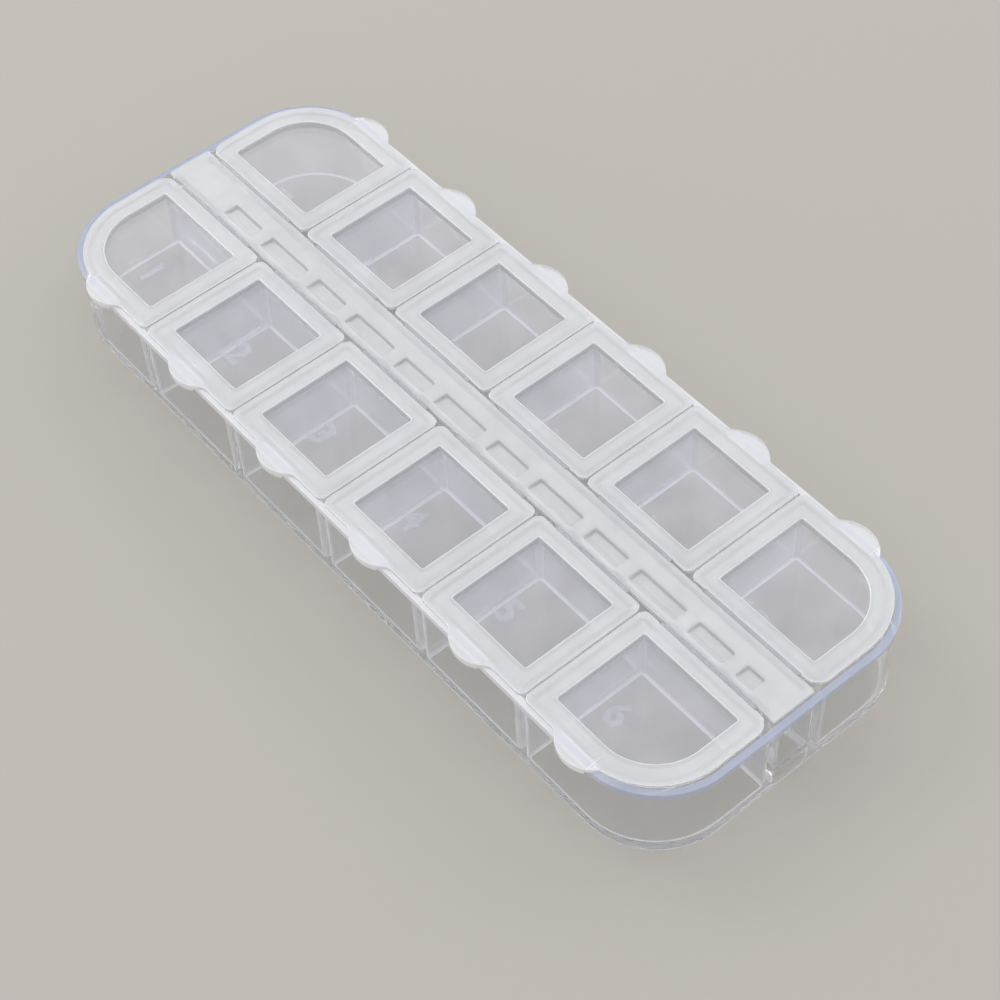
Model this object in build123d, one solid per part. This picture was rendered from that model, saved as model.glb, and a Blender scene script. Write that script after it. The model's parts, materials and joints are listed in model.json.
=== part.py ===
from build123d import *
import os

# Compartment storage box, two rows of lidded compartments either side of a centre strip.
# Millimetres. +X runs along the box, +Y across it, +Z up. The origin is the middle of the underside.

# Lids and strip, seen from above
lids_per_row = 6
lid_pitch = 20.4            # from the middle of one cross wall to the next
lid_gap = 0.3               # between two lids of a row
end_lid_extra = 2.8         # an end lid reaches this much further than one pitch
lid_depth = 20.25           # from the film hinge to the outer edge
strip_width = 6.8           # across the centre strip, between its film hinges
hinge_gap = 0.65            # groove that the film hinge spans
ear_gap = 0.4               # narrower gap beside each film hinge
ear_length = 3.2            # from a lid boundary to the start of the film hinge
lid_corner_radius = 11.3    # large outer corner of an end lid
small_corner_radius = 1.0   # every other corner of a lid
end_hinge_radius = 2.0      # corner of an end lid beside the end of the strip

# Heights and thicknesses of the one-piece top
top_thickness = 0.6         # flange of a lid, and the strip's plate
web_thickness = 0.2         # film hinge
web_depth = 0.2             # from the top face to the film hinge's axis
web_clearance = 0.05        # between the two halves of a film hinge

# Recessed window of a lid
pan_margin_side = 2.85
pan_margin_hinge = 2.45
pan_margin_outer = 3.15
pan_depth = 1.2
pan_wall = 0.5
window_thickness = 0.4

# Plug ring under a lid, which drops into the compartment
plug_clearance = 0.25
plug_wall = 0.6
plug_depth = 1.4
plug_corner_radius = 0.9    # clears the compartment's corner while the lid turns

# Finger tab on the outer edge of a lid
tab_width = 8.0
tab_reach = 2.0
tab_blend_radius = 1.5
tab_lip_drop = 0.5          # the tab's outer part is this much thicker than the flange
tab_lip_clearance = 0.3     # between the tab's lip and the tray's rim

# Pockets along the strip, long ones and short ones by turns, each with a sloping near side
pocket_pitch = 9.9
pocket_shift = 0.8          # a long pocket's middle is this far from the middle of the strip
pockets_before = 5          # pockets on the -X side of that one
pockets_after = 6
pocket_long = 8.6
pocket_short = 6.4
pocket_last = 3.0
pocket_far = 0.0            # Y of the upright far side
pocket_near = -2.3          # Y where the sloping near side begins
pocket_slope = 0.8
pocket_depth = 0.9
pocket_skin = 0.45          # thickness of a pocket's walls and floor
leg_thickness = 0.8         # ribs that press the strip into the centre channel
leg_depth = 3.4
leg_clearance = 0.03
leg_end_clearance = 0.6

# Tray
tray_height = 13.9
end_rim_reveal = 1.2        # rim seen beyond the end lids
side_rim_reveal = 0.65      # rim seen beyond the sides of the lids
tray_corner_radius = 12.0
rim_height = 1.0
rim_step = 0.15             # the rim stands this proud of the wall below
wall_draft = 1.0            # degrees, on the outside
lid_seat = 0.35             # how far a lid's edge lies on the inner walls
outer_seat = 0.5            # how far a lid's edge lies on the outer wall
strip_seat = 0.2            # how far the strip's edge lies on the channel walls
floor_thickness = 1.1
floor_bevel = 0.5           # along the foot of a compartment's walls
compartment_corner_radius = 0.8
channel_floor_height = 2.8  # the channel's floor is raised, and open from below
channel_floor_thickness = 1.0
channel_corner_radius = 0.8
base_bevel = 0.4

# Worked out from the sizes above
half_row = lids_per_row * lid_pitch / 2
lid_end = half_row + end_lid_extra
strip_edge = strip_width / 2
axis_y = strip_edge + hinge_gap / 2
lid_edge = strip_edge + hinge_gap
lid_side = lid_edge + lid_depth
strip_ear = axis_y - ear_gap / 2
lid_ear = axis_y + ear_gap / 2
total_height = tray_height + top_thickness
axis_z = total_height - web_depth
tray_half_length = lid_end + end_rim_reveal
tray_half_width = lid_side + side_rim_reveal
cavity_end = lid_end - outer_seat
cavity_side = lid_side - outer_seat
cavity_hinge = lid_edge + lid_seat
cross_wall = lid_gap + 2 * lid_seat
channel_half_width = strip_edge - strip_seat
plug_end = cavity_end - plug_clearance
plug_side = cavity_side - plug_clearance
plug_hinge = cavity_hinge + plug_clearance
plug_inner = cross_wall / 2 + plug_clearance


def corner_face(x0, x1, y0, y1, radii):
    """Rectangle with its own radius at each corner: (x0 y0), (x1 y0), (x1 y1), (x0 y1)."""
    face = Pos((x0 + x1) / 2, (y0 + y1) / 2) * Rectangle(x1 - x0, y1 - y0)
    corners = [(x0, y0), (x1, y0), (x1, y1), (x0, y1)]
    for (x, y), radius in zip(corners, radii):
        if radius > 0:
            vertex = face.vertices().sort_by_distance((x, y, 0))[0]
            face = fillet(vertex, radius)
    return face


def block(face, z0, z1):
    """Upright solid on a face, from height z0 to z1."""
    return extrude(Pos(0, 0, z0) * face, z1 - z0, dir=(0, 0, 1))


def edges_at(solid, z):
    """Edges of a solid that lie wholly at height z."""
    return solid.edges().filter_by_position(Axis.Z, z - 1e-4, z + 1e-4)


def build_lid(is_end):
    """One lid of the +Y row, with its inner boundary at X = 0."""
    x0 = lid_gap / 2
    x1 = lid_pitch + end_lid_extra if is_end else lid_pitch - lid_gap / 2
    big = lid_corner_radius if is_end else small_corner_radius
    hinge_corner = end_hinge_radius if is_end else small_corner_radius
    top = total_height
    under = tray_height

    flange = corner_face(x0, x1, lid_ear, lid_side,
                         (small_corner_radius, hinge_corner, big, small_corner_radius))
    web_x0 = ear_length
    web_x1 = x1 + lid_gap / 2 - ear_length
    web_middle = (web_x0 + web_x1) / 2
    web_length = web_x1 - web_x0
    flange -= Pos(web_middle, lid_ear) * Rectangle(web_length, 2 * (lid_edge - lid_ear))

    tab_radius = ((tab_width / 2) ** 2 + tab_reach ** 2) / (2 * tab_reach)
    tab_middle = lid_pitch / 2
    tab_centre = Vector(tab_middle, lid_side + tab_reach - tab_radius)
    tab = Pos(tab_centre) * Circle(tab_radius)
    flange += tab
    joins = [v for v in flange.vertices() if abs((v.center() - tab_centre).length - tab_radius) < 1e-3]
    flange = fillet(joins, tab_blend_radius)
    solid = block(flange, under, top)

    lip_start = tray_half_width + tab_lip_clearance
    lip_reach = lid_side + tab_reach - lip_start
    lip_area = Pos(tab_middle, lip_start + lip_reach / 2) * Rectangle(tab_width, lip_reach)
    solid += block(lip_area & tab, under - tab_lip_drop, top)

    pan_x0 = x0 + pan_margin_side
    pan_x1 = x1 - (pan_margin_outer if is_end else pan_margin_side)
    pan_y0 = lid_edge + pan_margin_hinge
    pan_y1 = lid_side - pan_margin_outer
    pan_big = big - pan_margin_outer if is_end else 0
    shell_big = pan_big + pan_wall if is_end else 0
    shell = corner_face(pan_x0 - pan_wall, pan_x1 + pan_wall,
                        pan_y0 - pan_wall, pan_y1 + pan_wall, (0, 0, shell_big, 0))
    pan = corner_face(pan_x0, pan_x1, pan_y0, pan_y1, (0, 0, pan_big, 0))
    solid += block(shell, top - pan_depth - window_thickness, under)

    ring_x1 = plug_end - half_row + lid_pitch if is_end else lid_pitch - plug_inner
    ring_big = big - (lid_end - plug_end) if is_end else plug_corner_radius
    ring_radii = (plug_corner_radius, plug_corner_radius, ring_big, plug_corner_radius)
    inner_big = ring_big - plug_wall if is_end else 0
    ring = corner_face(plug_inner, ring_x1, plug_hinge, plug_side, ring_radii)
    ring -= corner_face(plug_inner + plug_wall, ring_x1 - plug_wall,
                        plug_hinge + plug_wall, plug_side - plug_wall, (0, 0, inner_big, 0))
    solid += block(ring, under - plug_depth, under)
    solid -= block(pan, top - pan_depth, top)

    web_radius = web_thickness / 2
    web = Pos(web_middle, (axis_y + lid_edge) / 2, axis_z) * Box(web_length, hinge_gap / 2, web_thickness)
    nose = Pos(web_middle, axis_y, axis_z) * Rot(0, 90, 0) * Cylinder(web_radius, web_length)
    return solid + web + nose


def pocket(low_x, length, skin, z_top):
    """One pocket of the strip, or with a skin its shell, as a profile drawn out along X."""
    z_floor = total_height - pocket_depth - skin
    far = pocket_far + skin
    near = pocket_near - skin
    profile = Polygon((far, z_floor), (far, z_top), (near, z_top), (near + pocket_slope, z_floor), align=None)
    return extrude(Plane((low_x - skin, 0, 0), x_dir=(0, 1, 0), z_dir=(1, 0, 0)) * profile, length + 2 * skin)


def build_strip():
    """Centre strip with its half of each film hinge, its pockets and its press-in legs."""
    top = total_height
    under = tray_height
    plate = Rectangle(2 * lid_end, 2 * strip_ear)
    spans = []
    for column in range(lids_per_row):
        x0 = -half_row + column * lid_pitch + ear_length
        x1 = -half_row + (column + 1) * lid_pitch - ear_length
        if column == 0:
            x0 -= end_lid_extra
        if column == lids_per_row - 1:
            x1 += end_lid_extra
        spans.append(((x0 + x1) / 2, x1 - x0))
    for middle, length in spans:
        for side in (-1, 1):
            plate -= Pos(middle, side * strip_ear) * Rectangle(length, 2 * (strip_ear - strip_edge))
    solid = block(plate, under, top)

    leg_outer = channel_half_width - leg_clearance
    leg_length = 2 * (cavity_end - leg_end_clearance)
    for side in (-1, 1):
        leg_y = side * (leg_outer - leg_thickness / 2)
        solid += block(Pos(0, leg_y) * Rectangle(leg_length, leg_thickness), under - leg_depth, under)

    for index in range(-pockets_before, pockets_after + 1):
        length = pocket_short if index % 2 else pocket_long
        low_x = pocket_shift + index * pocket_pitch - length / 2
        if index == pockets_after:
            length = pocket_last
        solid += pocket(low_x, length, pocket_skin, under)
        solid -= pocket(low_x, length, 0, top)

    socket = Cylinder(web_thickness / 2 + web_clearance, 2 * lid_end)
    for side in (-1, 1):
        for middle, length in spans:
            y = side * (strip_edge + hinge_gap / 4)
            solid += Pos(middle, y, axis_z) * Box(length, hinge_gap / 2, web_thickness)
        solid -= Pos(0, side * axis_y, axis_z) * Rot(0, 90, 0) * socket
    return solid


def compartment(x0, x1, big):
    """Hollow of one compartment of the +Y row, with rounded corners and a bevelled floor."""
    small = compartment_corner_radius
    outer = big if big > small else 0
    bevelled = block(corner_face(x0, x1, cavity_hinge, cavity_side, (0, 0, outer, 0)), floor_thickness, tray_height)
    bevelled = chamfer(edges_at(bevelled, floor_thickness), floor_bevel)
    rounded = corner_face(x0, x1, cavity_hinge, cavity_side, (small, small, big, small))
    return bevelled & block(rounded, floor_thickness, tray_height)


def build_tray():
    """Clear tray with two rows of compartments and a raised centre channel."""
    rim = RectangleRounded(2 * tray_half_length, 2 * tray_half_width, tray_corner_radius)
    wall = RectangleRounded(2 * (tray_half_length - rim_step), 2 * (tray_half_width - rim_step),
                            tray_corner_radius - rim_step)
    wall_top = tray_height - rim_height
    body = extrude(Pos(0, 0, wall_top) * wall, wall_top, dir=(0, 0, -1), taper=wall_draft)
    body = chamfer(edges_at(body, 0), base_bevel)
    body += block(rim, wall_top, tray_height)

    hollows = []
    for column in range(lids_per_row // 2):
        x0 = column * lid_pitch + cross_wall / 2
        is_end = column == lids_per_row // 2 - 1
        x1 = cavity_end if is_end else (column + 1) * lid_pitch - cross_wall / 2
        big = lid_corner_radius - outer_seat if is_end else compartment_corner_radius
        hollow = compartment(x0, x1, big)
        hollows.append(hollow)
        hollows.append(mirror(hollow, about=Plane.YZ))
    for hollow in hollows:
        body -= hollow
        body -= Rot(0, 0, 180) * hollow

    channel = RectangleRounded(2 * cavity_end, 2 * channel_half_width, channel_corner_radius)
    body -= block(channel, channel_floor_height + channel_floor_thickness, tray_height)
    body -= block(channel, 0, channel_floor_height)
    return body


def write(node, solid):
    """One file for each node, named for it."""
    solid.label = node
    export_step(solid, os.path.join("parts", node + ".step"))
    print(node, len(solid.solids()), round(solid.volume, 1))


os.makedirs("parts", exist_ok=True)
write("tray", build_tray())
write("centre_strip", build_strip())

# The far row lies at +Y. The near row is the far row turned half a turn about Z.
# Both rows are numbered from -X to +X.
middle_lid = build_lid(False)
end_lid = build_lid(True)
for column in range(lids_per_row):
    if column == 0:
        lid = Pos(lid_pitch - half_row, 0, 0) * mirror(end_lid, about=Plane.YZ)
    elif column == lids_per_row - 1:
        lid = Pos(half_row - lid_pitch, 0, 0) * end_lid
    else:
        lid = Pos(column * lid_pitch - half_row, 0, 0) * middle_lid
    write("lid_far_%d" % (column + 1), lid)
    write("lid_near_%d" % (lids_per_row - column), Rot(0, 0, 180) * lid)
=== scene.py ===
import json
import math
from types import SimpleNamespace

import bmesh
import bpy
from mathutils import Matrix, Vector


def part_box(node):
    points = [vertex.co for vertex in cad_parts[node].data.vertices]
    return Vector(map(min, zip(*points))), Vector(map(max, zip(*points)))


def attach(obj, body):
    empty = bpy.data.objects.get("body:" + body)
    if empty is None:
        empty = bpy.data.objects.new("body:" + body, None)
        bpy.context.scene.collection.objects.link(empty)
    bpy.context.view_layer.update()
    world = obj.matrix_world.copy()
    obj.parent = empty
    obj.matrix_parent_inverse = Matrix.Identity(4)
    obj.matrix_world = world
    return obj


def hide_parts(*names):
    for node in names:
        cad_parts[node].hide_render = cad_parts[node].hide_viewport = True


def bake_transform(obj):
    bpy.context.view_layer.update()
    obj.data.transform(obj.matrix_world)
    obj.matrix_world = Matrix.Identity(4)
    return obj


bl_info = {
    "name": "Compartment storage box",
    "version": (1, 0, 0),
    "blender": (4, 5, 0),
    "location": "View3D > Sidebar > Storage Box",
    "description": "Dresses the packed model of a clear storage box with film-hinged lids",
    "category": "Object",
}

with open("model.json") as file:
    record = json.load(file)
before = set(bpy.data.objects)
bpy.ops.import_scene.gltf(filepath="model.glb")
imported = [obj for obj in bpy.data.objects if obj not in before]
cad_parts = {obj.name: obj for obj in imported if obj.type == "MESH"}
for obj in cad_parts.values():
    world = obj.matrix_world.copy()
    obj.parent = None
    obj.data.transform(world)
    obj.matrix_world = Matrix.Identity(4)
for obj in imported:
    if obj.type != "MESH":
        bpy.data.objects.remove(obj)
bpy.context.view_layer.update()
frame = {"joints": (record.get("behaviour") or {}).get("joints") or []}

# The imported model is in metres. Meshes are shaped in millimetres and scaled once, when they are finished.
MM = 0.001
UP = Vector((0, 0, 1))

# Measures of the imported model, in millimetres
tray_low, tray_high = (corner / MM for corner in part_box("tray"))
strip_low, strip_high = (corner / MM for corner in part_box("centre_strip"))
box_top = strip_high.z
rim_top = tray_high.z
tab_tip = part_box("lid_far_2")[1].y / MM
hinges = {joint["child"]: joint for joint in frame["joints"]}
columns = len(hinges) // 2
hinge_y = abs(hinges["lid_far_1"]["pos_m"][1]) / MM
hinge_z = hinges["lid_far_1"]["pos_m"][2] / MM

# Rounds too small for anyone to set, in millimetres
FINE_ROUND = 0.05
LEAST_ROUND = 0.02

# Points nearer to each other than the first are one point. The second is a margin where places are compared.
SAME_POINT = 1e-4
NEAR = 1e-3

# Facets of an upright corner: of the tray and the end lids, of the other lids, and of the strip
LARGE_CORNER_STEPS = 14
LID_CORNER_STEPS = 5
STRIP_CORNER_STEPS = 3

# Refractive indices
POLYSTYRENE = 1.59
POLYPROPYLENE = 1.49


# Sizes and colours

def linear(code):
    """An sRGB hex code such as D8D6D2 as linear red, green and blue."""
    parts = [int(code[i:i + 2], 16) / 255 for i in (0, 2, 4)]
    return [c / 12.92 if c <= 0.04045 else ((c + 0.055) / 1.055) ** 2.4 for c in parts]


def length(name, description, millimetres):
    """A length that a user may change, kept in metres."""
    return bpy.props.FloatProperty(name=name, description=description, default=millimetres * MM,
                                   min=0, unit="LENGTH", subtype="DISTANCE")


def colour(name, description, code):
    """A colour that a user may change."""
    return bpy.props.FloatVectorProperty(name=name, description=description, default=linear(code),
                                         min=0, max=1, size=3, subtype="COLOR")


class BoxSizes(bpy.types.PropertyGroup):
    """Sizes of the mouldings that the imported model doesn't give."""

    lid_pitch: length("Lid pitch", "From one lid of a row to the next", 20.4)
    lid_gap: length("Lid gap", "Between two lids of a row", 0.3)
    hinge_gap: length("Hinge gap", "Groove that a film hinge spans", 0.65)
    ear_gap: length("Ear gap", "Narrower groove beside each film hinge", 0.4)
    ear_length: length("Ear length", "From a lid's boundary to its film hinge", 3.2)
    ear_ramp: length("Ear ramp", "Slope between the two widths of the groove", 0.4)
    web_thickness: length("Film hinge", "Thickness of the film hinge", 0.2)
    lid_corner: length("Lid corner", "Large outer corner of an end lid", 11.3)
    small_corner: length("Small corner", "Every other corner of a lid", 1.0)
    end_hinge_corner: length("End corner", "Corner of an end lid beside the strip's end", 2.0)
    inner_seat: length("Inner seat", "Overlap of a lid on the cross walls", 0.35)
    outer_seat: length("Outer seat", "Overlap of a lid on the outer walls", 0.5)
    window_side: length("Window side margin", "From a lid's edge to its window", 2.85)
    window_hinge: length("Window hinge margin", "From the film hinge to the window", 2.45)
    window_outer: length("Window outer margin", "From a lid's outer edge to its window", 3.15)
    window_corner: length("Window corner", "Small corners of the window", 0.3)
    window_depth: length("Window depth", "How far the window is sunk", 1.2)
    window_wall: length("Window wall", "Wall round the sunk window", 0.5)
    window_round: length("Window round", "Round along the window's upper edge", 0.2)
    window_thickness: length("Window thickness", "Thickness of the clear window", 0.4)
    plug_depth: length("Plug depth", "Ring under a lid that enters the compartment", 1.4)
    plug_wall: length("Plug wall", "Thickness of that ring", 0.6)
    plug_corner: length("Plug corner", "Small corners of that ring", 0.8)
    plug_clearance: length("Plug clearance", "Between that ring and the compartment's walls", 0.25)
    tab_width: length("Tab width", "Width of a finger tab", 8.0)
    tab_reach: length("Tab reach", "How far a finger tab stands out", 2.0)
    tab_blend: length("Tab blend", "Round where a tab meets the lid's edge", 1.5)
    tab_lip: length("Tab lip", "Extra thickness of a tab's outer part", 0.5)
    tab_lip_gap: length("Tab lip gap", "Between that part and the tray's rim", 0.3)
    tab_lip_run: length("Tab lip run", "Slope into that part", 0.2)
    pocket_pitch: length("Pocket pitch", "From one pocket of the strip to the next", 9.9)
    pocket_shift: length("Pocket shift", "Middle of a long pocket from the middle of the strip", 0.8)
    pocket_long: length("Long pocket", "Length of every other pocket", 8.6)
    pocket_short: length("Short pocket", "Length of the pockets between", 6.4)
    pocket_last: length("Last pocket", "Length of the last pocket", 3.0)
    pocket_width: length("Pocket width", "Width of the strip's pockets", 2.3)
    pocket_depth: length("Pocket depth", "Depth of the strip's pockets", 0.9)
    pocket_slope: length("Pocket slope", "Run of a pocket's sloping side", 0.8)
    pocket_corner: length("Pocket corner", "Upright corners of a pocket", 0.3)
    pocket_round: length("Pocket round", "Round along a pocket's mouth and foot", 0.25)
    pocket_skin: length("Pocket skin", "Thickness of a pocket's walls", 0.45)
    leg_thickness: length("Leg thickness", "Ribs that press the strip into the channel", 0.8)
    leg_depth: length("Leg depth", "How far those ribs reach down", 3.4)
    leg_clearance: length("Leg clearance", "Between those ribs and the channel's walls", 0.03)
    leg_end_clearance: length("Leg end clearance", "Between those ribs and the channel's ends", 0.6)
    strip_seat: length("Strip seat", "Overlap of the strip on the channel's walls", 0.2)
    tray_corner: length("Tray corner", "Radius of the tray's corners", 12.0)
    rim_height: length("Rim height", "Height of the band round the tray's top", 1.0)
    rim_step: length("Rim step", "How proud that band stands", 0.15)
    rim_width: length("Rim width", "How far the rim's finish reaches in over the tray's top", 0.95)
    wall_draft: length("Wall draft", "How much narrower the outer wall is at its foot", 0.22)
    foot_round: length("Foot round", "Round along the tray's foot", 0.1)
    foot_line: length("Foot line", "Height of the bright line along the tray's foot", 0.4)
    floor: length("Floor", "Thickness of a compartment's floor", 1.1)
    cavity_corner: length("Compartment corner", "Upright corners inside a compartment", 0.8)
    cavity_foot: length("Compartment foot", "Round along the foot of its walls", 0.4)
    channel_roof: length("Channel roof", "Height of the hollow below the strip's channel", 2.8)
    channel_floor: length("Channel floor", "Height of the floor of the strip's channel", 3.8)
    numeral_height: length("Numeral height", "Height of a numeral on a floor", 4.2)
    numeral_relief: length("Numeral relief", "How far a numeral stands up", 0.25)
    numeral_boldness: length("Numeral boldness", "Added on each side of a numeral's strokes", 0.12)
    numeral_in: length("Numeral from the lid's middle", "Middle of a numeral along the row", 8.1)
    numeral_out: length("Numeral from the middle", "Middle of a numeral from the strip's middle", 11.6)
    edge_round: length("Edge round", "Round along the moulded edges", 0.1)


class BoxColours(bpy.types.PropertyGroup):
    """Colours of the plastics and of the stage."""

    clear: colour("Clear polystyrene", "Tint of the tray", "F7F8F9")
    rim: colour("Rim", "Tint of the tray's rim, where light runs the long way through it", "CDD7F4")
    milky: colour("Milky polypropylene", "Body colour of the lids and the strip", "F5F6F9")
    veil: colour("Veil", "Pale tint of thin, rubbed and etched places", "F4F4FA")
    floor: colour("Floor", "Colour of the floor that the box stands on", "BFBBB4")


def sizes():
    """The sizes in millimetres, with those that follow from them and from the frame."""
    group = bpy.context.scene.storage_box_sizes
    s = SimpleNamespace(**{name: getattr(group, name) / MM for name in group.__annotations__})
    s.strip_edge = hinge_y - s.hinge_gap / 2
    s.lid_edge = hinge_y + s.hinge_gap / 2
    s.lid_side = tab_tip - s.tab_reach
    s.ear_shift = (s.hinge_gap - s.ear_gap) / 2
    s.half_row = columns * s.lid_pitch / 2
    return s


# Materials

def add(material, kind, settings=None, **inputs):
    """Adds a node and returns its outputs. Settings are its own options. Inputs are values, or sockets to
    link from, each under the name of its socket, or under i and its socket's number where names repeat."""
    node = material.node_tree.nodes.new(kind)
    for name, value in (settings or {}).items():
        setattr(node, name, value)
    for name, value in inputs.items():
        socket = node.inputs[int(name[1:]) if name[1:].isdigit() else name.replace("_", " ")]
        if isinstance(value, bpy.types.NodeSocket):
            material.node_tree.links.new(value, socket)
        else:
            socket.default_value = value
    return node.outputs


def new_material(name):
    """An empty node material."""
    material = bpy.data.materials.new(name)
    material.use_nodes = True
    material.node_tree.nodes.clear()
    return material


def moulded_plastic(name, tint, ior, clarity, roughness, flow, relief, passing):
    """A see-through plastic. Its clarity and its roughness vary between two values along the flow of the
    melt, whose waves are flow millimetres long, and its surface swells with them by relief millimetres.
    Each surface lets the share passing of a lamp's light straight through. It is one number, or one each
    for red, green and blue."""
    material = new_material(name)
    place = add(material, "ShaderNodeTexCoord")["Object"]
    waves = add(material, "ShaderNodeTexNoise", Vector=place, Scale=1 / (flow * MM), Detail=2.0)["Fac"]
    polish = add(material, "ShaderNodeTexNoise", Vector=place, Scale=4 / (flow * MM), Detail=3.0)["Fac"]
    # Most of a noise lies between 0.3 and 0.7, and that range is spread over the two values.
    cloud = add(material, "ShaderNodeMapRange", i0=waves, i1=0.3, i2=0.7,
                i3=clarity[0], i4=clarity[1])["Result"]
    gloss = add(material, "ShaderNodeMapRange", i0=polish, i1=0.3, i2=0.7,
                i3=roughness[0], i4=roughness[1])["Result"]
    swell = add(material, "ShaderNodeBump", Height=waves, Distance=relief * MM, Strength=1.0)["Normal"]
    plastic = add(material, "ShaderNodeBsdfPrincipled", Base_Color=(*tint, 1), Roughness=gloss, IOR=ior,
                  Transmission_Weight=cloud, Normal=swell)["BSDF"]
    if isinstance(passing, float):
        passing = (passing, passing, passing)
    straight = add(material, "ShaderNodeBsdfTransparent", Color=(*passing, 1))["BSDF"]
    path = add(material, "ShaderNodeLightPath")
    lit = add(material, "ShaderNodeMixShader", i0=path["Is Diffuse Ray"], i1=plastic, i2=straight)["Shader"]
    whole = add(material, "ShaderNodeMixShader", i0=path["Is Shadow Ray"], i1=lit, i2=straight)["Shader"]
    add(material, "ShaderNodeOutputMaterial", Surface=whole)
    return material


def glassy_polystyrene():
    """General-purpose polystyrene from a polished mould: clear as glass, with a high IOR that makes its
    edges sparkle, and with faint waves where the melt flowed."""
    tint = bpy.context.scene.storage_box_colours.clear
    return moulded_plastic("glassy_polystyrene", tint, POLYSTYRENE, clarity=(0.985, 1.0),
                           roughness=(0.01, 0.03), flow=9.0, relief=0.015, passing=0.92)


def drawn_polystyrene():
    """The same polystyrene on the inner walls, which rub along the mould as they are drawn from it: a fine
    veil makes them a shade lighter than the floors."""
    tint = bpy.context.scene.storage_box_colours.veil
    return moulded_plastic("drawn_polystyrene", tint, POLYSTYRENE, clarity=(0.54, 0.64),
                           roughness=(0.04, 0.1), flow=9.0, relief=0.015, passing=0.95)


def edge_lit_polystyrene():
    """The same polystyrene along the foot of every wall and in the compartments' inner corners, made nearly
    white as a painted highlight. It stands in for the light that the walls pipe down into the round there,
    which shows as a white line."""
    tint = bpy.context.scene.storage_box_colours.veil
    return moulded_plastic("edge_lit_polystyrene", tint, POLYSTYRENE, clarity=(0.0, 0.25),
                           roughness=(0.1, 0.2), flow=4.0, relief=0.015, passing=0.95)


def etched_polystyrene():
    """The same polystyrene on the numerals, from a part of the mould that is etched matt: it is softly
    frosted, so that a numeral shows as a pale shape."""
    tint = bpy.context.scene.storage_box_colours.veil
    return moulded_plastic("etched_polystyrene", tint, POLYSTYRENE, clarity=(0.76, 0.84),
                           roughness=(0.1, 0.15), flow=4.0, relief=0.015, passing=0.95)


def blasted_polystyrene():
    """The same polystyrene under the tray, from a finely blasted part of the mould that hides scratches: it
    softens what shows through the floors."""
    tint = bpy.context.scene.storage_box_colours.clear
    return moulded_plastic("blasted_polystyrene", tint, POLYSTYRENE, clarity=(0.92, 0.96),
                           roughness=(0.13, 0.15), flow=9.0, relief=0.015, passing=0.92)


def rim_polystyrene():
    """The same polystyrene round the rim. Round the ends it is painted blue, a painted light that stands in
    for the light that runs the long way through it there and shows its toner. Along the sides it is a pale
    haze."""
    colours = bpy.context.scene.storage_box_colours
    material = moulded_plastic("rim_polystyrene", colours.rim, POLYSTYRENE, clarity=(0.5, 0.6),
                               roughness=(0.05, 0.12), flow=9.0, relief=0.015, passing=(0.88, 0.9, 0.96))
    place = add(material, "ShaderNodeTexCoord")["Object"]
    along = add(material, "ShaderNodeSeparateXYZ", Vector=place)["X"]
    outward = add(material, "ShaderNodeMath", {"operation": "ABSOLUTE"}, Value=along)["Value"]
    end = tray_high.x * MM
    # 0 along the sides and 1 round the ends, where the blue light is painted
    painted_blue_end = add(material, "ShaderNodeMapRange", i0=outward, i1=0.7 * end, i2=0.9 * end)["Result"]
    # A colour's two inputs on the Mix node are its sockets 6 and 7, and its output is number 2.
    tint = add(material, "ShaderNodeMix", {"data_type": "RGBA"}, i0=painted_blue_end,
               i6=(*colours.veil, 1), i7=(*colours.rim, 1))[2]
    clearer = add(material, "ShaderNodeMapRange", i0=painted_blue_end, i3=0.3, i4=1.0)["Result"]
    plastic = material.node_tree.nodes["Principled BSDF"].inputs
    cloud = plastic["Transmission Weight"].links[0].from_socket
    haze = add(material, "ShaderNodeMath", {"operation": "MULTIPLY"}, i0=cloud, i1=clearer)["Value"]
    material.node_tree.links.new(tint, plastic["Base Color"])
    material.node_tree.links.new(haze, plastic["Transmission Weight"])
    return material


def natural_polypropylene():
    """Uncoloured polypropylene from a lightly eroded mould, thick enough to look milky: part of the light
    soaks in and comes out soft, and what is close below still shows."""
    tint = bpy.context.scene.storage_box_colours.milky
    return moulded_plastic("natural_polypropylene", tint, POLYPROPYLENE, clarity=(0.54, 0.62),
                           roughness=(0.04, 0.1), flow=6.0, relief=0.004, passing=(0.86, 0.87, 0.88))


def thick_natural_polypropylene():
    """The same polypropylene in the finger tabs, where the eye looks through enough of it to see it nearly
    white, and along the moulded edges, where its white is a painted highlight."""
    tint = bpy.context.scene.storage_box_colours.milky
    return moulded_plastic("thick_natural_polypropylene", tint, POLYPROPYLENE, clarity=(0.1, 0.2),
                           roughness=(0.08, 0.16), flow=6.0, relief=0.004, passing=(0.8, 0.81, 0.82))


def thin_natural_polypropylene():
    """The same polypropylene, moulded so thin and so well polished that it is nearly clear."""
    tint = bpy.context.scene.storage_box_colours.veil
    return moulded_plastic("thin_natural_polypropylene", tint, POLYPROPYLENE, clarity=(0.82, 0.88),
                           roughness=(0.02, 0.06), flow=5.0, relief=0.01, passing=(0.95, 0.955, 0.965))


def matt_board():
    """Matt painted board under the box: an even pale grey with no shine."""
    material = new_material("matt_board")
    tint = bpy.context.scene.storage_box_colours.floor
    board = add(material, "ShaderNodeBsdfPrincipled", Base_Color=(*tint, 1), Roughness=0.8)["BSDF"]
    add(material, "ShaderNodeOutputMaterial", Surface=board)
    return material


def made_once(finish):
    """The material of a finish, made the first time it is asked for. It has the name of its function."""
    return bpy.data.materials.get(finish.__name__) or finish()


# Shaping

def outline(low_x, high_x, low_y, high_y, *radii):
    """A rectangle with one radius, or with its own at each corner: low X and low Y first, then onwards
    by way of high X and low Y."""
    return SimpleNamespace(x=(low_x, high_x), y=(low_y, high_y), radii=radii * (4 // len(radii)))


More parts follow.
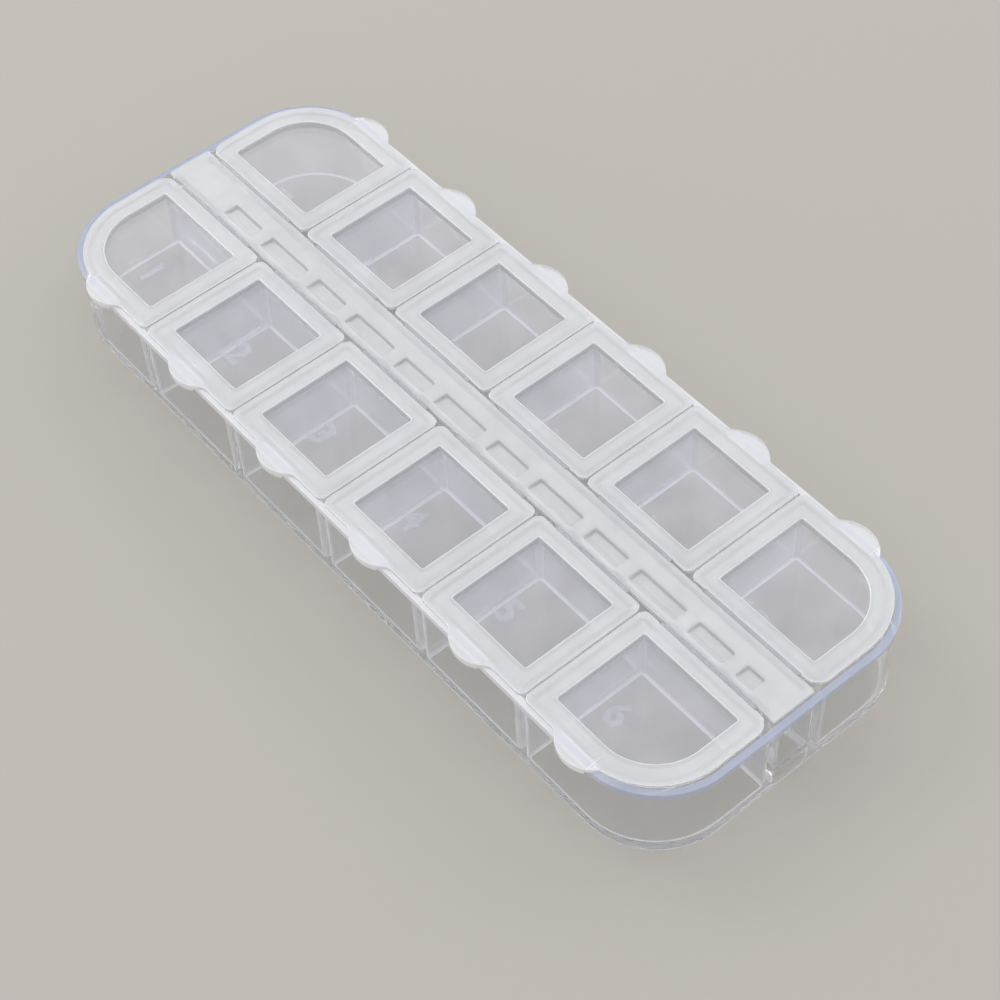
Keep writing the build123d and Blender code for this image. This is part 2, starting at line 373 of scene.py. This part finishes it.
def section(bm, shape, grow, z, steps):
    """A flat face on an outline, grown by so much on every side, at height z."""
    old_verts, old_faces = set(bm.verts), set(bm.faces)
    bmesh.ops.create_grid(bm, x_segments=1, y_segments=1, size=0.5)
    corners = [v for v in bm.verts if v not in old_verts]
    rounds = []
    for vertex in corners:
        right, far = vertex.co.x > 0, vertex.co.y > 0
        rounds.append(shape.radii[(2 if right else 3) if far else (1 if right else 0)])
        vertex.co = (shape.x[right] + (grow if right else -grow), shape.y[far] + (grow if far else -grow), z)
    for vertex, radius in zip(corners, rounds):
        bmesh.ops.bevel(bm, geom=[vertex], offset=max(radius + grow, LEAST_ROUND), offset_type="OFFSET",
                        segments=steps, profile=0.5, affect="VERTICES", material=-1, clamp_overlap=False)
    return next(face for face in bm.faces if face not in old_faces)


def skin(bm, corners, steps, start, end, arc=2, margin=0):
    """Skins a profile that runs round outlines, with level faces and upright walls in turn. It comes off a
    level face at its first corner. Each corner is (outline, grow, z, round). start and end say what the level
    faces before and after it are: "cap" closes the middle, "in" leaves a hole there, and "out" leaves the
    outside open. A margin is one more loop on the last level face. Sections are bridged far apart and then
    brought to their heights, so that no bridge turns inside out. The bands of faces come in the order of the
    profile: arc bands for each rounded corner, and one for each face between two corners."""
    apart = 100.0
    reach = [shape.x[1] + grow for shape, grow, z, turn in corners]
    faces, heights = [], []

    def place(shape, grow, z):
        faces.append(section(bm, shape, grow, apart * len(faces), steps))
        heights.append(z)

    for index, (shape, grow, z, turn) in enumerate(corners):
        level, upright = (index - 1, index + 1) if index % 2 == 0 else (index + 1, index - 1)
        if 0 <= level < len(corners):
            out = 1 if reach[level] > reach[index] else -1
        else:
            out = 1 if (end if level > 0 else start) == "out" else -1
        up = 1 if corners[upright][2] > z else -1
        bends = [math.pi / 2 * part / arc for part in range(arc + 1)] if turn else [0]
        for bend in bends if index % 2 == 0 else reversed(bends):
            place(shape, grow + out * turn * (1 - math.sin(bend)), z + up * turn * (1 - math.cos(bend)))
    if margin:
        place(shape, grow + out * margin, z)

    loops = [list(face.edges) for face in faces]
    caps = [faces[0]] * (start == "cap") + [faces[-1]] * (end == "cap")
    bmesh.ops.delete(bm, geom=[face for face in faces if face not in caps], context="FACES_ONLY")
    bands = [bmesh.ops.bridge_loops(bm, edges=a + b)["faces"] for a, b in zip(loops, loops[1:])]
    for loop, height in zip(loops, heights):
        for edge in loop:
            for vertex in edge.verts:
                vertex.co.z = height
    return SimpleNamespace(first=loops[0], last=loops[-1], caps=caps, bands=bands)


def plate(bm, loops, normal, material=0):
    """Fills a flat face between an outer loop of edges and the loops of its holes."""
    filled = bmesh.ops.triangle_fill(bm, use_beauty=True, edges=sum(loops, []), normal=normal)
    paint([part for part in filled["geom"] if isinstance(part, bmesh.types.BMFace)], material)


def paint(faces, material):
    """Gives faces the material with that number in their piece's list."""
    for face in faces:
        face.material_index = material


def middle(face):
    """The middle of a face's corners."""
    return sum((v.co for v in face.verts), Vector()) / len(face.verts)


def cut(bm, axis, places, keep):
    """Cuts the faces whose middle keep accepts, at places along an axis: 0 for X, 1 for Y, 2 for Z."""
    normal = Vector((0, 0, 0))
    normal[axis] = 1
    for at in places:
        faces = [face for face in bm.faces if keep(middle(face))]
        geometry = set(faces)
        for face in faces:
            geometry.update(face.edges, face.verts)
        bmesh.ops.bisect_plane(bm, geom=list(geometry), plane_co=normal * at, plane_no=normal,
                               dist=SAME_POINT)


def piece(name, bm, finishes):
    """Turns a finished bmesh in millimetres into an object in metres. Finishes are the functions that make
    its materials, in the order of their numbers."""
    bmesh.ops.remove_doubles(bm, verts=bm.verts, dist=SAME_POINT)
    bmesh.ops.dissolve_degenerate(bm, dist=SAME_POINT, edges=bm.edges)
    bmesh.ops.recalc_face_normals(bm, faces=bm.faces)
    bmesh.ops.scale(bm, vec=(MM, MM, MM), verts=bm.verts)
    mesh = bpy.data.meshes.new(name)
    bm.to_mesh(mesh)
    bm.free()
    for finish in finishes:
        mesh.materials.append(made_once(finish))
    mesh.shade_smooth()
    mesh.set_sharp_from_angle(angle=math.radians(50))
    obj = bpy.data.objects.new(name, mesh)
    bpy.context.scene.collection.objects.link(obj)
    obj.modifiers.new("flat_faces", "WEIGHTED_NORMAL").keep_sharp = True
    return obj


# Pieces

def lid_places(s):
    """For each lid: its name, its column, its side of 1 or -1, whether it is its row's first or last, and
    where it, its boundary and its film hinge lie in X."""
    for name in sorted(hinges):
        low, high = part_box(name)
        column = int(name.split("_")[-1]) - 1
        lid = SimpleNamespace(name=name, column=column, side=1 if "far" in name else -1)
        lid.first, lid.last = column == 0, column == columns - 1
        lid.low_x, lid.high_x = low.x / MM, high.x / MM
        lid.boundary = column * s.lid_pitch - s.half_row
        lid.web_low = lid.low_x - s.lid_gap / 2 + s.ear_length
        lid.web_high = lid.high_x + s.lid_gap / 2 - s.ear_length
        yield lid


def mould_tray(s):
    """The clear tray: outer wall with its rim, twelve compartments, and a channel above and below the floor
    that carries the strip."""
    bm = bmesh.new()
    steps = LARGE_CORNER_STEPS
    finishes = [glassy_polystyrene, rim_polystyrene, drawn_polystyrene, edge_lit_polystyrene,
                blasted_polystyrene]
    glassy, blue, drawn, painted_highlight, blasted = range(len(finishes))
    rim = outline(tray_low.x, tray_high.x, tray_low.y, tray_high.y, s.tray_corner)
    rim_foot = rim_top - s.rim_height
    outside = skin(bm, [(rim, -s.rim_step - s.wall_draft, 0, s.foot_round),
                        (rim, -s.rim_step, rim_foot, FINE_ROUND),
                        (rim, 0, rim_foot, FINE_ROUND),
                        (rim, 0, rim_top, s.edge_round)],
                   steps, "in", "in", margin=s.rim_width)
    # The rim's bands are those from its own underside upwards. They take the rim's finish, with its painted
    # blue light round the ends.
    for band in outside.bands[5:]:
        paint(band, blue)
    # The outer wall's foot, up to the foot line, is painted as a highlight.
    cut(bm, 2, [s.foot_line], lambda at: s.foot_line < at.z < rim_foot - FINE_ROUND)
    paint([face for face in bm.faces if middle(face).z < s.foot_line], painted_highlight)

    # Each compartment goes down from a hole in the tray's top. Its wall is its fourth band, and its foot
    # comes after that.
    tops = [outside.last]
    for lid in lid_places(s):
        low_x = lid.low_x + (s.outer_seat if lid.first else s.inner_seat)
        high_x = lid.high_x - (s.outer_seat if lid.last else s.inner_seat)
        far_y, near_y = s.lid_side - s.outer_seat, s.lid_edge + s.inner_seat
        big = s.lid_corner - s.outer_seat
        small = s.cavity_corner
        left, right = (big if lid.first else small), (big if lid.last else small)
        if lid.side > 0:
            hollow = outline(low_x, high_x, near_y, far_y, small, small, right, left)
        else:
            hollow = outline(low_x, high_x, -far_y, -near_y, left, right, small, small)
        inside = skin(bm, [(hollow, 0, rim_top, s.edge_round), (hollow, -FINE_ROUND, s.floor, s.cavity_foot)],
                      steps, "out", "cap", arc=3)
        # Where a cross wall meets the middle or the outer wall, the wall's corner is painted as a highlight.
        # The other faces of the cross and middle walls take the veil, and the outer walls stay glassy.
        inner_x = [low_x] * (not lid.first) + [high_x] * (not lid.last)
        for face in inside.bands[3]:
            at = middle(face)
            at_cross = any(abs(at.x - x) < small for x in inner_x)
            at_middle = abs(at.y) < near_y + small
            in_corner = at_cross and (at_middle or abs(at.y) > far_y - small)
            face.material_index = painted_highlight if in_corner else drawn if at_cross or at_middle else glassy
        # The foot round of each compartment is painted as a highlight.
        for band in inside.bands[4:]:
            paint(band, painted_highlight)
        tops.append(inside.first)

    # The strip's channel goes down from the top, and below its floor a hollow goes up from the underside.
    channel_end = strip_high.x - s.outer_seat
    channel_side = s.strip_edge - s.strip_seat
    channel = outline(-channel_end, channel_end, -channel_side, channel_side, s.cavity_corner)
    above = skin(bm, [(channel, 0, rim_top, s.edge_round), (channel, 0, s.channel_floor, s.cavity_foot)],
                 steps, "out", "cap")
    tops.append(above.first)
    below = skin(bm, [(channel, 0, 0, s.edge_round), (channel, 0, s.channel_roof, s.cavity_foot)],
                 steps, "out", "cap")
    plate(bm, tops, UP, glassy)
    plate(bm, [outside.first, below.first], -UP, blasted)
    tray = piece("tray_moulding", bm, finishes)
    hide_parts("tray")
    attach(tray, "base")


def raise_numeral(s, number, x, y):
    """One raised numeral on a compartment's floor. A digit is 0.74 of its font's size high."""
    name = f"numeral_{number:02d}"
    text = bpy.data.curves.new(name, "FONT")
    text.body = str(number)
    text.size = s.numeral_height / 0.74
    text.align_x = "CENTER"
    text.align_y = "CENTER"
    text.offset = s.numeral_boldness
    text.extrude = s.numeral_relief / 2
    text.bevel_depth = FINE_ROUND
    text.bevel_resolution = 1
    text.resolution_u = 4
    holder = bpy.data.objects.new(name, text)
    bpy.context.scene.collection.objects.link(holder)
    bpy.context.view_layer.update()
    mesh = bpy.data.meshes.new_from_object(holder)
    bm = bmesh.new()
    bm.from_mesh(mesh)
    bpy.data.meshes.remove(mesh)
    bpy.data.objects.remove(holder)
    bmesh.ops.translate(bm, verts=bm.verts, vec=(x, y, s.floor + s.numeral_relief / 2))
    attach(piece(name, bm, [etched_polystyrene]), "base")


def mould_strip(s):
    """The centre strip: plate, a row of pockets, and two legs that press into the channel."""
    bm = bmesh.new()
    steps = STRIP_CORNER_STEPS
    under = rim_top
    rim = outline(strip_low.x, strip_high.x, -s.strip_edge, s.strip_edge, s.pocket_corner)
    sides = skin(bm, [(rim, 0, under, s.edge_round), (rim, 0, box_top, s.edge_round)], steps, "in", "in")

    # Pocket 0 is near the middle. Every other one is long, and the last is cut short by the strip's end.
    # Below the strip each stands out as a hump, whose walls are as thick as the pocket skin.
    tops, bottoms = [sides.last], [sides.first]
    sunk = box_top - s.pocket_depth
    first_pocket, last_pocket = -5, 6
    for pocket in range(first_pocket, last_pocket + 1):
        size = s.pocket_short if pocket % 2 else s.pocket_long
        low_x = s.pocket_shift + pocket * s.pocket_pitch - size / 2
        high_x = low_x + (s.pocket_last if pocket == last_pocket else size)
        mouth = outline(low_x, high_x, -s.pocket_width, 0, s.pocket_corner)
        foot = outline(low_x, high_x, s.pocket_slope - s.pocket_width, 0, s.pocket_corner)
        hollow = skin(bm, [(mouth, 0, box_top, s.pocket_round), (foot, 0, sunk, s.pocket_round)],
                      steps, "out", "cap", arc=4)
        hump = skin(bm, [(mouth, s.pocket_skin, under, s.edge_round),
                         (foot, s.pocket_skin, sunk - s.pocket_skin, s.edge_round)], steps, "out", "cap")
        tops.append(hollow.first)
        bottoms.append(hump.first)
    leg_y = s.strip_edge - s.strip_seat - s.leg_clearance
    leg_x = strip_high.x - s.outer_seat - s.leg_end_clearance
    for low_y in (-leg_y, leg_y - s.leg_thickness):
        rib = outline(-leg_x, leg_x, low_y, low_y + s.leg_thickness, s.pocket_corner)
        leg = skin(bm, [(rib, 0, under, 0), (rib, 0, under - s.leg_depth, s.edge_round)], steps, "out", "cap")
        bottoms.append(leg.first)
    plate(bm, tops, UP)
    plate(bm, bottoms, -UP)

    # The edge stands out to the narrower groove beside every film hinge.
    webs = [(lid.web_low, lid.web_high) for lid in lid_places(s) if lid.side > 0]
    turns = [x for low, high in webs for x in (low - s.ear_ramp, low, high, high + s.ear_ramp)]
    cut(bm, 0, turns, lambda at: abs(at.y) > s.pocket_width + s.pocket_skin)
    for vertex in bm.verts:
        beside = not any(low - s.ear_ramp / 2 < vertex.co.x < high + s.ear_ramp / 2 for low, high in webs)
        if abs(vertex.co.y) > leg_y + s.leg_clearance and beside:
            vertex.co.y += math.copysign(s.ear_shift, vertex.co.y)
    strip = piece("strip_moulding", bm, [natural_polypropylene])
    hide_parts("centre_strip")
    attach(strip, "base")


def tab_height(s, away):
    """How far a finger tab stands out at a distance from its middle: an arc with a hollow round at each
    root."""
    radius = ((s.tab_width / 2) ** 2 + s.tab_reach ** 2) / (2 * s.tab_reach)
    centre = s.tab_reach - radius
    root = math.sqrt((radius + s.tab_blend) ** 2 - (s.tab_blend - centre) ** 2)
    turn = root * radius / (radius + s.tab_blend)
    away = abs(away)
    if away <= turn:
        return centre + math.sqrt(radius ** 2 - away ** 2)
    if away < root:
        return s.tab_blend - math.sqrt(s.tab_blend ** 2 - (root - away) ** 2)
    return 0.0


def mould_lid(s, lid):
    """One lid: flange, sunk window, plug ring and finger tab. It is shaped in the far row, and mirrored for
    the near one."""
    bm = bmesh.new()
    steps = LARGE_CORNER_STEPS if lid.first or lid.last else LID_CORNER_STEPS

    def shape(side, hinge, outer, small, hinge_end):
        """The lid's outline, drawn in by so much at its sides, its hinge and its outer edge."""
        low_x = lid.low_x + (outer if lid.first else side)
        high_x = lid.high_x - (outer if lid.last else side)
        big = s.lid_corner - outer
        return outline(low_x, high_x, s.lid_edge + hinge, s.lid_side - outer,
                       hinge_end if lid.first else small, hinge_end if lid.last else small,
                       big if lid.last else small, big if lid.first else small)

    inner = s.inner_seat + s.plug_clearance
    flange = shape(0, 0, 0, s.small_corner, s.end_hinge_corner)
    plug = shape(inner, inner, s.outer_seat + s.plug_clearance, s.plug_corner, s.plug_corner)
    window = shape(s.window_side, s.window_hinge, s.window_outer, s.window_corner, s.window_corner)
    top, under = box_top, rim_top
    sunk = top - s.window_depth
    body = skin(bm, [(window, 0, sunk, s.edge_round),
                     (window, 0, top, s.window_round),
                     (flange, 0, top, s.edge_round),
                     (flange, 0, under, FINE_ROUND),
                     (plug, 0, under, FINE_ROUND),
                     (plug, 0, under - s.plug_depth, s.edge_round),
                     (plug, -s.plug_wall, under - s.plug_depth, s.edge_round),
                     (plug, -s.plug_wall, under, FINE_ROUND),
                     (window, s.window_wall, under, FINE_ROUND),
                     (window, s.window_wall, sunk - s.window_thickness, s.edge_round)], steps, "cap", "cap")

    # The window and its inner wall are clear, and the rounds along both upper edges of the flange are painted
    # white as highlights.
    finishes = [natural_polypropylene, thin_natural_polypropylene, thick_natural_polypropylene]
    milky, clear, white = range(len(finishes))
    paint(body.caps, clear)
    for band in body.bands[:3]:
        paint(band, clear)
    for band in body.bands[3:5] + body.bands[6:8]:
        paint(band, white)

    # The finger tab is drawn out of the flange's outer edge.
    tab_x = lid.boundary + s.lid_pitch / 2
    reach = (s.tab_width + s.tab_blend) / 2
    slices = 24
    at_under = under - FINE_ROUND / 2
    cut(bm, 0, [tab_x + reach * (2 * index / slices - 1) for index in range(slices + 1)],
        lambda at: at.y > s.lid_side - s.window_outer and at.z > at_under)
    for vertex in bm.verts:
        if vertex.co.y > s.lid_side - 2 * s.edge_round and vertex.co.z > at_under:
            vertex.co.y += tab_height(s, vertex.co.x - tab_x)

    # Beyond the tray's rim its underside is lowered to a thicker lip.
    lip_y = tray_high.y + s.tab_lip_gap
    half_way = (top + under) / 2
    cut(bm, 1, [lip_y, lip_y + s.tab_lip_run], lambda at: at.z < half_way + FINE_ROUND)
    for vertex in bm.verts:
        if vertex.co.y > lip_y + s.tab_lip_run - NEAR and vertex.co.z < half_way - FINE_ROUND:
            vertex.co.z -= s.tab_lip
    paint([face for face in bm.faces if middle(face).y > s.lid_side], white)

    # The flange stands out to the narrower groove on both sides of the film hinge.
    cut(bm, 0, [lid.web_low - s.ear_ramp, lid.web_low, lid.web_high, lid.web_high + s.ear_ramp],
        lambda at: at.y < s.lid_edge + s.window_hinge - FINE_ROUND and at.z > at_under)
    for vertex in bm.verts:
        beside = not lid.web_low - s.ear_ramp / 2 < vertex.co.x < lid.web_high + s.ear_ramp / 2
        if vertex.co.y < s.lid_edge + 2 * s.edge_round and vertex.co.z > at_under and beside:
            vertex.co.y -= s.ear_shift
    bmesh.ops.scale(bm, vec=(1, lid.side, 1), verts=bm.verts)
    moulding = piece(lid.name + "_moulding", bm, finishes)
    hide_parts(lid.name)
    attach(moulding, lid.name)


def mould_film_hinge(s, lid):
    """The thin web that a lid bends on, from just inside the strip's edge to just inside the lid's."""
    bm = bmesh.new()
    bends = 10
    reach = s.hinge_gap / 2 + FINE_ROUND
    bmesh.ops.create_cube(bm, size=1)
    bmesh.ops.scale(bm, vec=(lid.web_high - lid.web_low, 2 * reach, s.web_thickness), verts=bm.verts)
    bmesh.ops.translate(bm, vec=((lid.web_low + lid.web_high) / 2, hinge_y, hinge_z), verts=bm.verts)
    cut(bm, 1, [s.strip_edge + s.hinge_gap * index / bends for index in range(bends + 1)], lambda at: True)
    bmesh.ops.scale(bm, vec=(1, lid.side, 1), verts=bm.verts)
    name = lid.name.replace("lid", "film_hinge")
    web = piece(name, bm, [thin_natural_polypropylene])
    start, end = ((0, lid.side * y * MM, hinge_z * MM) for y in (s.strip_edge, s.lid_edge))
    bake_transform(web)
    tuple(start)
    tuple(end)


# Operators

class STORAGE_BOX_OT_tray(bpy.types.Operator):
    """Mould the clear tray"""

    bl_idname = "storage_box.tray"
    bl_label = "Tray"

    def execute(self, context):
        mould_tray(sizes())
        return {"FINISHED"}


class STORAGE_BOX_OT_numerals(bpy.types.Operator):
    """Raise the numerals on the compartment floors"""

    bl_idname = "storage_box.numerals"
    bl_label = "Numerals"

    def execute(self, context):
        s = sizes()
        for lid in lid_places(s):
            number = lid.column + 1 + (columns if lid.side > 0 else 0)
            raise_numeral(s, number, (lid.low_x + lid.high_x) / 2 - s.numeral_in, lid.side * s.numeral_out)
        return {"FINISHED"}


class STORAGE_BOX_OT_strip(bpy.types.Operator):
    """Mould the centre strip"""

    bl_idname = "storage_box.strip"
    bl_label = "Centre strip"

    def execute(self, context):
        mould_strip(sizes())
        return {"FINISHED"}


class STORAGE_BOX_OT_lids(bpy.types.Operator):
    """Mould the lids"""

    bl_idname = "storage_box.lids"
    bl_label = "Lids"

    def execute(self, context):
        s = sizes()
        for lid in lid_places(s):
            mould_lid(s, lid)
        return {"FINISHED"}


class STORAGE_BOX_OT_film_hinges(bpy.types.Operator):
    """Mould the film hinges"""

    bl_idname = "storage_box.film_hinges"
    bl_label = "Film hinges"

    def execute(self, context):
        s = sizes()
        for lid in lid_places(s):
            mould_film_hinge(s, lid)
        return {"FINISHED"}


def lay_floor():
    """The floor, four metres square and a hair below the box, so that no two faces coincide."""
    hair = 0.02 * MM
    bpy.ops.mesh.primitive_plane_add(size=4, location=(0, 0, -hair))
    floor = bpy.context.object
    floor.name = "floor"
    floor.data.materials.append(made_once(matt_board))


def hang_lamp(name, place, size, watts):
    """A round soft lamp that points at the box. Its place and its size are in metres."""
    lamp = bpy.data.lights.new(name, "AREA")
    lamp.shape = "DISK"
    lamp.size = size
    lamp.energy = watts
    holder = bpy.data.objects.new(name, lamp)
    bpy.context.scene.collection.objects.link(holder)
    holder.location = place
    holder.rotation_mode = "QUATERNION"
    holder.rotation_quaternion = (-Vector(place)).to_track_quat("-Z", "Y")


def set_camera():
    """The camera, where the photograph was taken from: its direction was fitted to the box's outline."""
    aim = Vector((15.5, -6.45, box_top)) * MM
    distance = 313.4 * MM
    azimuth, elevation, roll = (math.radians(angle) for angle in (52.12, 52.17, -2.88))
    level = math.cos(elevation)
    back = Vector((math.sin(azimuth) * level, -math.cos(azimuth) * level, math.sin(elevation)))
    camera = bpy.data.cameras.new("camera")
    camera.sensor_width = 36
    camera.lens = 85.7
    camera.clip_start = 0.01
    holder = bpy.data.objects.new("camera", camera)
    bpy.context.scene.collection.objects.link(holder)
    holder.location = aim + back * distance
    holder.rotation_mode = "QUATERNION"
    turn = Matrix.Rotation(roll, 3, back).to_quaternion()
    holder.rotation_quaternion = turn @ (-back).to_track_quat("-Z", "Y")
    bpy.context.scene.camera = holder


class STORAGE_BOX_OT_stage(bpy.types.Operator):
    """Set the floor, the light and the camera"""

    bl_idname = "storage_box.stage"
    bl_label = "Stage"

    def execute(self, context):
        scene = context.scene
        lay_floor()
        scene.world = bpy.data.worlds.new("studio")
        scene.world.use_nodes = True
        sky = scene.world.node_tree.nodes["Background"].inputs
        sky["Color"].default_value = (1, 1, 1, 1)
        sky["Strength"].default_value = 0.76
        hang_lamp("key", place=(-0.75, -0.2, 0.85), size=0.6, watts=3.4)
        hang_lamp("fill", place=(0.3, 0.9, 0.7), size=0.6, watts=1.6)
        set_camera()
        scene.view_settings.view_transform = "Standard"
        # Light crosses many walls of clear plastic on its way to the camera.
        scene.cycles.max_bounces = scene.cycles.glossy_bounces = scene.cycles.transmission_bounces = 32
        scene.cycles.transparent_max_bounces = 64
        return {"FINISHED"}


class STORAGE_BOX_PT_pieces(bpy.types.Panel):
    """Lists the pieces of the storage box"""

    bl_label = "Storage Box"
    bl_space_type = "VIEW_3D"
    bl_region_type = "UI"
    bl_category = "Storage Box"

    def draw(self, context):
        for operator in operators:
            self.layout.operator(operator.bl_idname)
        for group in (context.scene.storage_box_sizes, context.scene.storage_box_colours):
            column = self.layout.column(align=True)
            for name in group.__annotations__:
                column.prop(group, name)


operators = (STORAGE_BOX_OT_tray, STORAGE_BOX_OT_numerals, STORAGE_BOX_OT_strip, STORAGE_BOX_OT_lids,
             STORAGE_BOX_OT_film_hinges, STORAGE_BOX_OT_stage)
classes = (BoxSizes, BoxColours, *operators, STORAGE_BOX_PT_pieces)


def register():
    """Adds the classes and the two groups of settings to Blender."""
    for cls in classes:
        bpy.utils.register_class(cls)
    bpy.types.Scene.storage_box_sizes = bpy.props.PointerProperty(type=BoxSizes)
    bpy.types.Scene.storage_box_colours = bpy.props.PointerProperty(type=BoxColours)


def unregister():
    """Takes them out again."""
    del bpy.types.Scene.storage_box_colours
    del bpy.types.Scene.storage_box_sizes
    for cls in reversed(classes):
        bpy.utils.unregister_class(cls)


def main():
    """Builds the dressed box."""
    register()
    bpy.ops.storage_box.tray()
    bpy.ops.storage_box.numerals()
    bpy.ops.storage_box.strip()
    bpy.ops.storage_box.lids()
    bpy.ops.storage_box.film_hinges()
    bpy.ops.storage_box.stage()


if __name__ == "__main__":
    main()
